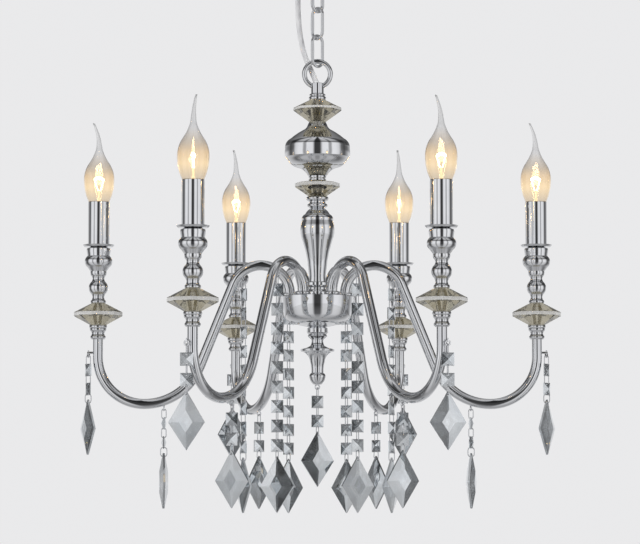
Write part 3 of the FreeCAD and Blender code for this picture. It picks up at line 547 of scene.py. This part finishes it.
# Column: turned brass pieces and two eight-sided collars of cut smoky crystal, threaded on one tube and
# clamped between the coupler and the bowl. The metal is polished and chrome plated.
column_pieces = (
    ("vase_shell", 0.0379, 0.0630,
     ((0.256, 0.0), (0.298, 0.05), (0.36, 0.12, 0.46, 0.16), (0.66, 0.235, 0.84, 0.32),
      (0.965, 0.39, 1.0, 0.50), (1.01, 0.58, 0.993, 0.665), (0.95, 0.69, 0.918, 0.715),
      (0.82, 0.79, 0.62, 0.85), (0.40, 0.92, 0.30, 1.0))),
    ("column_neck", 0.0103, 0.0066,
     ((0.86, 0.0), (1.0, 0.12), (1.0, 0.42), (0.88, 0.55, 1.0, 0.68), (1.0, 0.90), (0.86, 1.0))),
    ("column_rings", 0.0128, 0.0140,
     ((0.90, 0.0), (1.02, 0.17, 0.90, 0.34), (0.76, 0.40), (0.74, 0.52, 0.78, 0.62),
      (0.93, 0.74, 0.80, 0.88), (0.62, 1.0))),
    ("baluster", 0.0200, 0.0859,
     ((0.42, 0.0), (0.60, 0.035, 0.725, 0.08), (0.85, 0.10, 0.905, 0.17), (1.0, 0.30, 0.87, 0.44),
      (0.66, 0.62, 0.51, 0.86), (0.49, 0.94, 0.52, 1.0))),
    ("column_base", 0.0130, 0.0175,
     ((0.86, 0.0), (1.0, 0.06), (1.0, 0.25), (0.80, 0.34), (0.76, 0.47, 0.82, 0.60), (0.905, 0.68),
      (0.905, 0.90), (0.86, 1.0))))
rod_radius = 0.0050
rod_play = 0.00005
rod_hole = rod_radius + rod_play
for node, radius, height, shares in column_pieces:
    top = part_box(node)[1].z
    outline = profile(shares, radius, height, top)
    outline = [(rod_hole, top)] + outline + [(rod_hole, top - height), (rod_hole, top)]
    plated(turn(node + "_turned", outline, steps=96), node)

smoky = grained("smoky_crystal", ((0.42, 0.38, 0.27), (0.56, 0.52, 0.41)), 22.0, (0.0, 0.015), 0.02,
                {"Transmission Weight": 1.0, "IOR": 1.56})
# the belt's gloss is real, and its pale, mostly opaque tone is a painted highlight
belt_glass_painted_highlight = grained("polished_belt_painted_highlight", ((0.80, 0.79, 0.75), (0.92, 0.92, 0.90)), 40.0, (0.05, 0.12), 0.02,
                     {"Transmission Weight": 0.25, "IOR": 1.56, "Specular IOR Level": 0.8})
crystal_neck = 0.0096
crystal_edge = 0.00022
corner_share = math.cos(math.pi / 8)
belt_lean = 0.1
belt_reach = 0.95


def collar(name, radius, heights, bottom, hole):
    """An eight-sided collar of cut glass, a corner to the front: sloping facets, a belt, a drilled hole."""
    low, belt, high = heights
    rings = ((crystal_neck, 0), (radius, low), (radius, belt), (crystal_neck, high), (hole, 0))
    piece = begun(name, bpy.ops.mesh.primitive_circle_add, vertices=8, radius=hole, location=(0, 0, bottom))
    at, wide = bottom, hole
    for next_wide, rise in rings:
        draw_out(0, 0, rise)
        at += rise
        if next_wide != wide:
            growth = next_wide / wide
            bpy.ops.transform.resize(value=(growth, growth, 1), center_override=(0, 0, at))
        wide = next_wide
    draw_out(0, 0, bottom - at)
    closed_up()
    apply_modifier(piece, "BEVEL", width=crystal_edge, segments=1)
    return piece


def belted(piece):
    """The straight belt of a collar gets the second finish: glossy, with a pale, mostly opaque tone as a
    painted highlight.
    """
    piece.data.materials.append(belt_glass_painted_highlight)
    reach = max(math.hypot(v.co.x, v.co.y) for v in piece.data.vertices) * corner_share
    for face in piece.data.polygons:
        upright = abs(face.normal.z) < belt_lean
        outermost = math.hypot(face.center.x, face.center.y) > reach * belt_reach
        face.material_index = int(upright and outermost)


for node, radius, heights in (("upper_crystal", 0.0282, (0.0136, 0.0031, 0.0092)),
                              ("lower_crystal", 0.0262, (0.0114, 0.0043, 0.0026))):
    cut = collar(node + "_cut", radius, heights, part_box(node)[0].z, rod_hole / corner_share)
    belted(dress(cut, smoky, "fixture", node))

# Bowl: a spun pan under the arm roots, closed by a flat lid that carries them, on the column's tube.
# Inside are the six nuts of the arms; the pan is polished and chrome plated.
bowl_radius = 0.0422
bowl_depth = 0.0350
bowl_wall = 0.0015
bowl_shares = ((1.0, 0.0), (1.0, 0.087), (0.976, 0.37, 0.93, 0.62), (0.825, 0.80, 0.65, 0.905),
               (0.275, 1.0))
bowl_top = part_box("centre_bowl")[1].z
bowl_bottom = bowl_top - bowl_depth
bowl_outer = profile(bowl_shares, bowl_radius, bowl_depth, bowl_top)
bowl_inner = [(r - bowl_wall, bowl_top - (bowl_top - z) * (bowl_depth - bowl_wall) / bowl_depth)
              for r, z in reversed(bowl_outer)]
bowl_hole = [(rod_hole, bowl_bottom), (rod_hole, bowl_inner[0][1])]
bowl_outline = bowl_outer + bowl_hole + bowl_inner + bowl_outer[:1]
plated(turn("bowl_pan", bowl_outline, steps=96), "centre_bowl")
finish_node("bowl_lid", chrome)
finish_node("centre_rod", zinc)
finish_node("root_nuts", zinc)

# Finial: a turned brass drop that screws onto the end of the tube and closes the bowl from below.
# It is polished and chrome plated, and its bore is blind.
finial_radius = 0.0197
finial_height = 0.0670
finial_bore = 0.015
finial_shares = ((0.50, 0.0), (0.62, 0.03), (0.62, 0.10), (0.52, 0.13), (0.58, 0.16), (0.36, 0.22),
                 (0.35, 0.27, 0.42, 0.33), (0.66, 0.365), (1.0, 0.39), (0.98, 0.425),
                 (0.56, 0.50, 0.44, 0.60), (0.37, 0.70, 0.36, 0.80), (0.48, 0.845, 0.46, 0.89),
                 (0.40, 0.94, 0.22, 1.0))
bore_end = bowl_bottom - finial_bore
finial_outline = [(rod_hole, bowl_bottom)]
finial_outline += profile(finial_shares, finial_radius, finial_height, bowl_bottom)
finial_outline += [(0, bowl_bottom - finial_height), (0, bore_end), (rod_hole, bore_end),
                   (rod_hole, bowl_bottom)]
plated(turn("finial_drop", finial_outline), "bottom_finial")

# Arms: six steel tubes bent in one plane, each root through the lid under a rounded collar, with a nut
# inside, each outer end rising into a candle's cup. Tubes and collars are polished and chrome plated.
headings = {"front_left": -32.0, "front_right": 32.0, "side_left": -90.0, "side_right": 90.0,
            "rear_left": -156.4, "rear_right": 156.4}
arm_reach = 0.2550
tube_radius = 0.0059
outer_bow = 0.0540
arm_depth = 0.1045
leg_slant = math.radians(22)
arch_radius = 0.0340
arch_height = 0.0570
root_reach = 0.0320
root_depth = 0.0090
riser_start = 0.0175
crystal_low, crystal_belt, crystal_high = 0.0103, 0.0044, 0.0097
crystal_drop = crystal_low + crystal_belt / 2
candle_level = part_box("candle_crystals")[0].z + crystal_drop


def copied(piece, name, move):
    """A copy with its own mesh, turned and moved in it."""
    copy = piece.copy()
    copy.data = piece.data.copy()
    copy.name = copy.data.name = name
    bpy.context.scene.collection.objects.link(copy)
    copy.data.transform(move)
    return copy


def set_out(piece, name, heading, reach, up=0.0):
    """A copy set out along a heading from the front: 0 is -Y and 90 is +X."""
    return copied(piece, name, about_z(heading - 90) @ Matrix.Translation((reach, 0, up)))


def used_up(*pieces):
    """Takes away the models that the copies were made from."""
    for piece in pieces:
        bpy.data.objects.remove(piece)


slant_out = Vector((math.cos(leg_slant), math.sin(leg_slant)))
arch_x, arch_z = root_reach + arch_radius, arch_height - arch_radius
bow_x = arm_reach - outer_bow
leg_line = slant_out.x * arch_x + slant_out.y * arch_z + arch_radius
inner_bow = (slant_out.x * bow_x - slant_out.y * arm_depth - leg_line) / (1 - slant_out.y)
bow_z = inner_bow - arm_depth
leg_low = Vector((bow_x, bow_z)) - slant_out * inner_bow
leg_high = Vector((arch_x, arch_z)) + slant_out * arch_radius
outer_z = outer_bow - arm_depth
arm_route = [(0, outer_z + riser_start), (bow_x, outer_z, -math.pi / 2, 18),
             (bow_x, bow_z, -(math.pi / 2 - leg_slant), 16),
             (leg_high.x - leg_low.x, leg_high.y - leg_low.y),
             (arch_x, arch_z, math.pi - leg_slant, 26), (0, root_depth - arch_z)]
arm = bent("arm_tube", (arm_reach, -riser_start), tube_radius, arm_route, sides=28)
polished(arm, edge=0.0003)
for name, heading in headings.items():
    plated(set_out(arm, "arm_tube_" + name, heading, 0, candle_level), "arm_" + name)
used_up(arm)

collar_radius = 0.0094
collar_height = 0.0046
lid_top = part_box("bowl_lid")[1].z
collar_top = lid_top + collar_height
collar_outline = round_rim(tube_radius, collar_radius, collar_top, lid_top)
collar_outline += [(tube_radius, lid_top), (tube_radius, collar_top)]
root_collar = turn("root_collar", collar_outline, steps=40)
for name, heading in headings.items():
    plated(set_out(root_collar, "root_collar_" + name, heading, root_reach), "root_collars")
used_up(root_collar)

# Candles: on each riser a turned cup, an eight-sided crystal collar, a turned stem with its drip pan and a
# plain chrome tube that hides the lampholder. A spigot under the stem goes down through the crystal.
cup_radius = 0.0104
cup_height = 0.0171
cup_shares = ((0.93, 0.0), (1.0, 0.09), (1.0, 0.18), (0.90, 0.24), (0.93, 0.34, 0.86, 0.42),
              (0.71, 0.60, 0.80, 0.76), (0.87, 0.84, 0.80, 0.93), (0.70, 1.0))
spigot_radius = 0.0043
spigot_play = 0.0001
riser_top = candle_level - riser_start
cup_top = candle_level - crystal_drop
cup_outline = [(spigot_radius, cup_top)] + profile(cup_shares, cup_radius, cup_height, cup_top)
cup_outline += [(tube_radius, cup_top - cup_height), (tube_radius, riser_top), (spigot_radius, riser_top),
                (spigot_radius, cup_top)]
cup = turn("riser_cup", cup_outline, steps=56)

crystal_radius = 0.0283
crystal_bore = 0.0047
crystal_heights = (crystal_low, crystal_belt, crystal_high)
candle_crystal = collar("candle_crystal", crystal_radius, crystal_heights, cup_top, crystal_bore)

stem_radius = 0.0159
stem_height = 0.0666
stem_shares = ((0.60, 0.0), (0.86, 0.03), (0.88, 0.075, 0.85, 0.12), (0.83, 0.165),
               (1.0, 0.23, 0.80, 0.36), (0.585, 0.43), (0.60, 0.465, 0.56, 0.50),
               (0.44, 0.555, 0.50, 0.61), (0.71, 0.725, 0.50, 0.83), (0.44, 0.88, 0.47, 0.93),
               (0.57, 0.965, 0.50, 1.0))
pan_radius = 0.0183
pan_thickness = 0.0024
pan_shares = ((0.0, 0.6), (0.774, 0.6), (0.855, 0.2), (0.985, 0.0), (1.0, 0.12), (0.9, 1.0))
stem_bottom = candle_level + crystal_belt / 2 + crystal_high
stem_top = stem_bottom + stem_height
spigot_end = riser_top + spigot_play
stem_outline = profile(pan_shares, pan_radius, pan_thickness, stem_top + pan_thickness)
stem_outline += profile(stem_shares, stem_radius, stem_height, stem_top)
stem_outline += [(spigot_radius, stem_bottom), (spigot_radius, spigot_end), (0, spigot_end)]
stem = turn("candle_stem", stem_outline, steps=64)

sleeve_radius = 0.0125
sleeve_wall = 0.0014
sleeve_height = 0.0500
sleeve_bore = sleeve_radius - sleeve_wall
sleeve_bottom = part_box("candle_sleeves")[0].z
sleeve_top = sleeve_bottom + sleeve_height
sleeve_outline = [(sleeve_bore, sleeve_bottom), (sleeve_bore, sleeve_top), (sleeve_radius, sleeve_top),
                  (sleeve_radius, sleeve_bottom), (sleeve_bore, sleeve_bottom)]
sleeve = turn("candle_sleeve", sleeve_outline, steps=64, edge=0.0004)


def outward(heading, reach, z=0.0):
    """The place at a reach from the axis along a heading."""
    return about_z(heading) @ Vector((0, -reach, z))


for name, heading in headings.items():
    for model, title, node in ((cup, "riser_cup_", "riser_cups"), (stem, "candle_stem_", "candle_stems"),
                               (sleeve, "candle_sleeve_", "candle_sleeves")):
        plated(set_out(model, title + name, heading, arm_reach), node)
    cut = copied(candle_crystal, "candle_crystal_" + name, Matrix())
    belted(dress(cut, smoky, "fixture", "candle_crystals"))
    cut.data.transform(Matrix.Translation(outward(heading, arm_reach)))
used_up(cup, stem, sleeve, candle_crystal)

holder_plastic = grained("holder_plastic", ((0.62, 0.60, 0.55), (0.74, 0.72, 0.67)), 120.0,
                         (0.45, 0.6), 0.3)
finish_node("lampholders", holder_plastic)
cap_brass = grained("lamp_cap_metal", ((0.60, 0.58, 0.54), (0.74, 0.72, 0.68)), 200.0, (0.22, 0.38), 0.3,
                    {"Metallic": 1.0})
finish_node("lamp_caps", cap_brass)

# Lamps: flame-shaped glass with a drawn and bent tail, its neck down in the sleeve, and inside it a glass
# stem that carries the glowing coil. The glass is clear and blown thin; its warm glow round the coil and
# its warm tint, white only at the tip, are painted light of the coil, and so is the glow of the glass stem.
bulb_radius = 0.0177
bulb_height = 0.0620
bulb_wall = 0.0007
bulb_neck = 0.0080
bulb_play = 0.0003
tail_height = 0.0310
tail_tip = (0.0001, 0, 0.0004)
bulb_shares = ((0.22, 0.0), (0.36, 0.11, 0.60, 0.235), (0.955, 0.45, 1.0, 0.61), (0.925, 0.80, 0.68, 1.0))
tail_shares = ((0.97, 0.0), (0.84, 0.003), (0.74, 0.012), (0.65, 0.025), (0.56, 0.045), (0.49, 0.075),
               (0.42, 0.115), (0.36, 0.16), (0.32, 0.21))
tail_headings = {"front_left": 30.0, "front_right": -60.0, "side_left": -90.0, "side_right": -90.0,
                 "rear_left": -150.0, "rear_right": -165.0}
lamp_bottom = sleeve_top
lamp_top = lamp_bottom + bulb_height
cap_radius = 0.0069

# painted light: the glass emits a painted warm glow in a band at the coil's height, fading above and below
painted_glow_stops = ((0.0, (0.10, 0.06, 0.02)), (0.30, (0.90, 0.58, 0.24)), (0.48, (0.62, 0.36, 0.13)),
              (0.66, (0.10, 0.05, 0.02)), (1.0, (0.0, 0.0, 0.0)))
# painted light: the glass's warm tint by height, warmest just above the coil and white at the tip
painted_warmth_stops = ((0.0, (0.92, 0.86, 0.78)), (0.35, (0.97, 0.90, 0.76)), (0.55, (0.93, 0.85, 0.72)),
              (0.75, (0.91, 0.87, 0.81)), (1.0, (0.96, 0.96, 0.96)))
tone_wave = 0.12
heat_stops = ((0.0, (1.0, 0.62, 0.28)), (1.0, (1.0, 0.86, 0.62)))
glass, glass_tree, glass_shader = new_finish("lamp_glass")
glass_place = add_node(glass_tree, "TexCoord").outputs["Object"]
glass_part = add_node(glass_tree, "SeparateXYZ", {"Vector": glass_place}).outputs
glass_height = fade(glass_tree, glass_part["Z"], lamp_bottom, lamp_top)
glass_wave = add_node(glass_tree, "TexNoise", {"Vector": glass_place, "Scale": 35.0}).outputs["Fac"]
glass_rise = add_node(glass_tree, "Math", {0: glass_wave, 1: tone_wave, 2: glass_height},
                      operation="MULTIPLY_ADD").outputs[0]
# the glass's warm tint and its emission by height are painted light of the coil, not a tint of the glass
feed(glass_tree, glass_shader, {"Base Color": ramp(glass_tree, glass_rise, painted_warmth_stops), "Roughness": 0.0,
                                "Transmission Weight": 1.0, "IOR": 1.47,
                                "Emission Color": ramp(glass_tree, glass_height, painted_glow_stops),
                                "Emission Strength": 0.09})

filament, coil_tree, coil_shader = new_finish("glowing_coil")
coil_place = add_node(coil_tree, "TexCoord").outputs["Object"]
coil_noise = add_node(coil_tree, "TexNoise", {"Vector": coil_place, "Scale": 400.0}).outputs["Fac"]
coil_heat = ramp(coil_tree, coil_noise, heat_stops)
feed(coil_tree, coil_shader, {"Base Color": coil_heat, "Emission Color": coil_heat,
                              "Emission Strength": 14.0})
# the glass stem inside the lamp gets a painted warm glow, standing in for the coil's light on it
painted_glow_stem_glass = grained("painted_glow_stem_glass", ((0.90, 0.84, 0.74), (0.98, 0.94, 0.88)), 300.0, (0.10, 0.25), 0.3,
                     {"Transmission Weight": 0.5, "Emission Color": (1.0, 0.80, 0.52, 1),
                      "Emission Strength": 0.45})


by_vertex = (True, False, False)
by_face = (False, False, True)


def reopened(piece, parts, wanted, mode):
    """Opens a piece for editing again, in a select mode and with only the wanted parts of it selected."""
    for part in (*piece.data.vertices, *piece.data.edges, *piece.data.polygons):
        part.select = False
    for part in parts:
        part.select = wanted(part)
    bpy.context.tool_settings.mesh_select_mode = mode
    bpy.ops.object.mode_set(mode="EDIT")


def flame_glass(name):
    """The blown glass of one lamp on the axis, its tail leaning to +X."""
    outline = [(cap_radius, lamp_bottom - bulb_neck), (sleeve_bore - bulb_play, lamp_bottom)]
    outline += reversed(profile(bulb_shares, bulb_radius, bulb_height, lamp_top))
    flame = turn(name, outline, steps=48, edge=0)
    reopened(flame, flame.data.vertices, lambda v: v.co.z > lamp_top - hair, by_vertex)
    neck = bulb_radius * bulb_shares[0][0]
    wide, lean, at = neck, 0.0, lamp_top
    steps = len(tail_shares) - 1
    for i, (share, lean_share) in enumerate(tail_shares[1:], 1):
        rise = tail_height * i / steps - (at - lamp_top)
        across = tail_height * lean_share - lean
        draw_out(across, 0, rise)
        at += rise
        lean += across
        growth = neck * share / wide
        bpy.ops.transform.resize(value=(growth, growth, 1), center_override=(lean, 0, at))
        wide = neck * share
    draw_out(*tail_tip)
    bpy.ops.mesh.merge(type="CENTER")
    closed_up()
    apply_modifier(flame, "SOLIDIFY", thickness=bulb_wall, offset=-1)
    bpy.ops.object.shade_smooth_by_angle(angle=math.radians(60))
    return flame


mount_radius = 0.0026
mount_height = 0.0225
mount_steps = ((0.0, 0.0), (1.0, 0.0), (1.0, 0.010), (0.55, 0.014), (0.5, 0.0215), (0.75, mount_height),
               (0.0, 0.0231))
mount_foot = lamp_bottom - bulb_neck
mount_outline = [(mount_radius * share, mount_foot + rise) for share, rise in mount_steps]

coil_turns = 10
coil_radius = 0.0014
coil_flatness = 0.9
coil_wire = 0.00042
coil_span = 0.0058
coil_arch = 0.0022
turn_points = 12
lead_points = 6
lead_sink = 0.001
lead_start = 0.25
coil_sink = 0.0035
coil_facing = 25
coil_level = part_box("lamp_mounts")[1].z - coil_sink


def coil(name):
    """The coiled wire as an arch over the stem, with its leads down to the glass."""
    foot = mount_foot + mount_height - lead_sink
    shares = [i / lead_points for i in range(lead_points + 1)]
    lead = [(coil_span * (lead_start + (1 - lead_start) * share), foot + (coil_level - foot) * share)
            for share in shares]
    points = [(-x, 0, z) for x, z in lead]
    count = coil_turns * turn_points
    for i in range(1, count):
        share = i / count
        angle = 2 * math.pi * coil_turns * share
        lift = coil_arch * math.sin(math.pi * share) + coil_radius * math.cos(angle) * coil_flatness
        points.append((coil_span * (2 * share - 1), coil_radius * math.sin(angle), coil_level + lift))
    points += [(x, 0, z) for x, z in reversed(lead)]
    return round_wire(name, points, radius=coil_wire, fineness=1)


flame = flame_glass("flame_glass")
mount = turn("lamp_stem", mount_outline, steps=28, edge=0.0001)
glow = coil("glow_coil")
for name, heading in headings.items():
    out = Matrix.Translation(outward(heading, arm_reach))
    for model, title, finish, slot, node, facing in (
            (flame, "flame_glass_", glass, "lamp_glass", "lamp_glasses", tail_headings[name]),
            (mount, "lamp_stem_", painted_glow_stem_glass, "lamp_glass", "lamp_mounts", heading),
            (glow, "glow_coil_", filament, "filament", "lamp_mounts", heading + coil_facing)):
        dress(copied(model, title + name, out @ about_z(facing - 90)), finish, "fixture", node)
used_up(flame, mount, glow)

# Strands: square beads and one kite drop of cut crystal, each drilled and joined by oval wire rings, hung
# in a small eye. A bead is ground to four facets a side, the kite to a small table on each face, and the
# table behind has a hollow ground in it.
finish_node("strand_eyes", chrome)
clear = grained("strand_crystal", ((0.76, 0.80, 0.83), (0.93, 0.95, 0.96)), 26.0, (0.0, 0.006), 0.0,
                {"Transmission Weight": 1.0, "IOR": 1.58, "Metallic": 0.72})
bead_size = 0.0144
bead_depth = 0.0060
bead_edge = 0.0012
drill_width = 0.0020
hole_place = 0.0054
oval_wire = 0.0006
oval_length = 0.0113
oval_half = 0.0026
kite_oval_half = 0.0037
kite_width = 0.0400
kite_height = 0.0640
kite_widest = 0.53
kite_depth = 0.0100
kite_edge = 0.0024
kite_table = 0.38
kite_hole = 0.0046
eye_wire = 0.0009
eye_play = 0.0003
hook_drop = eye_wire + eye_play + oval_wire
flat_on = 0.99
drill_length = 1.5


def drill(piece, height, depth):
    """A square hole through a piece from front to back."""
    bit = begun("drill_bit", bpy.ops.mesh.primitive_cube_add, size=1.0, location=(0, 0, height),
                scale=(drill_width, depth * drill_length, drill_width))
    bpy.ops.object.mode_set(mode="OBJECT")
    only(piece)
    apply_modifier(piece, "BOOLEAN", object=bit, operation="DIFFERENCE")
    bpy.data.objects.remove(bit)


def faceted_bead(name):
    """A square bead: a thin plate whose two faces are poked out to a point, drilled near top and bottom."""
    bead = begun(name, bpy.ops.mesh.primitive_cube_add, size=1.0, scale=(bead_size, bead_edge, bead_size))
    bpy.ops.object.mode_set(mode="OBJECT")
    reopened(bead, bead.data.polygons, lambda f: abs(f.normal.y) > flat_on, by_face)
    bpy.ops.mesh.poke(offset=(bead_depth - bead_edge) / 2)
    bpy.ops.mesh.select_mode(type="VERT")
    bpy.ops.object.mode_set(mode="OBJECT")
    for side in (-1, 1):
        drill(bead, side * hole_place, bead_depth)
    return bead


def kite(name):
    """A kite drop, drilled near its top, its hole at the origin: the outline is extruded to a thin edge and
    drawn in to the table behind. One more step draws the front in to its table and sinks the hollow."""
    top = kite_hole
    widest = top - kite_height * kite_widest
    slope = (kite_depth - kite_edge) / 2
    outline = ((0, top), (kite_width / 2, widest), (0, top - kite_height), (-kite_width / 2, widest))
    drop = begun(name, bpy.ops.mesh.primitive_circle_add, vertices=4, radius=kite_width / 2,
                 fill_type="NGON")
    bpy.ops.object.mode_set(mode="OBJECT")
    for vertex, (x, z) in zip(drop.data.vertices, outline):
        vertex.co = (x, -kite_edge / 2, z)
    bpy.ops.object.mode_set(mode="EDIT")
    draw_out(0, kite_edge, 0)
    draw_out(0, slope, 0)
    bpy.ops.transform.resize(value=(kite_table, 1, kite_table), center_override=(0, 0, widest))
    bpy.ops.object.mode_set(mode="OBJECT")
    reopened(drop, drop.data.polygons, lambda f: abs(f.normal.y) > flat_on, by_face)
    draw_out(0, -slope, 0)
    bpy.ops.transform.resize(value=(kite_table, 1, kite_table), center_override=(0, 0, widest))
    bpy.ops.mesh.select_mode(type="VERT")
    closed_up()
    drill(drop, 0, kite_depth)
    return drop


def oval(name, half_width):
    """A closed oval ring of fine wire in the YZ plane, its upper run at the origin."""
    straight = oval_length - 2 * half_width
    bar = bent(name, (-half_width, -half_width), oval_wire,
               [(0, -straight), (0, half_width - oval_length, math.pi, 8), (0, straight),
                (0, -half_width, math.pi, 8)], sides=8, closed=True)
    polished(bar, edge=0, smooth=80)
    bar.data.transform(about_z(90))
    return bar


def threaded(name, parts, hung):
    """One piece from copies of the models, each at its height, with its own small twist, hung in place."""
    made = [copied(model, name, hung @ Matrix.Translation((0, 0, height)) @ about_z(twist))
            for model, height, twist in parts]
    only(made[0])
    for copy in made[1:]:
        copy.select_set(True)
    if len(made) > 1:
        bpy.ops.object.join()
    return made[0]


bead = faceted_bead("square_bead")
drop = kite("kite_drop")
small_oval = oval("small_oval", oval_half)
kite_oval = oval("kite_oval", kite_oval_half)
twists = (3, -4, 2, 5, -3, -5, 4, -2, 3)
strand_kinds = (("inner", 0.086, 9, (-20, 24, -62, 58, -146, 150)),
                ("under", 0.178, 2, (-24, 28, -84, 78, -140, 136)),
                ("outer", 0.266, 2, (-8, 10, -62, 60, -150, 146)), ("centre", 0.0, 2, (20,)))
for kind, reach, beads, facings in strand_kinds:
    for (name, heading), facing in zip(headings.items(), facings):
        node = "centre_strand" if kind == "centre" else kind + "_strand_" + name
        body = "centre" if kind == "centre" else kind + "_" + name
        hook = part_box(node)[1].z - hook_drop - oval_wire
        hung = Matrix.Translation(outward(heading, reach, hook)) @ about_z(facing)
        at = hook_drop
        rings, cut = [], []
        for twist in twists[:beads]:
            rings.append((small_oval, at, 0))
            middle = at - oval_length - hole_place
            cut.append((bead, middle, twist))
            at = middle - hole_place
        rings.append((kite_oval, at, 0))
        kites = [(drop, at - oval_length, 0)]
        for title, parts, finish, slot in (("rings", rings, chrome, "chrome_plate"),
                                           ("beads", cut, clear, "strand_crystal"),
                                           ("drop", kites, clear, "strand_crystal")):
            dress(threaded(body + "_" + title, parts, hung), finish, body, node)
used_up(bead, drop, small_oval, kite_oval)

bpy.ops.object.select_all(action="DESELECT")
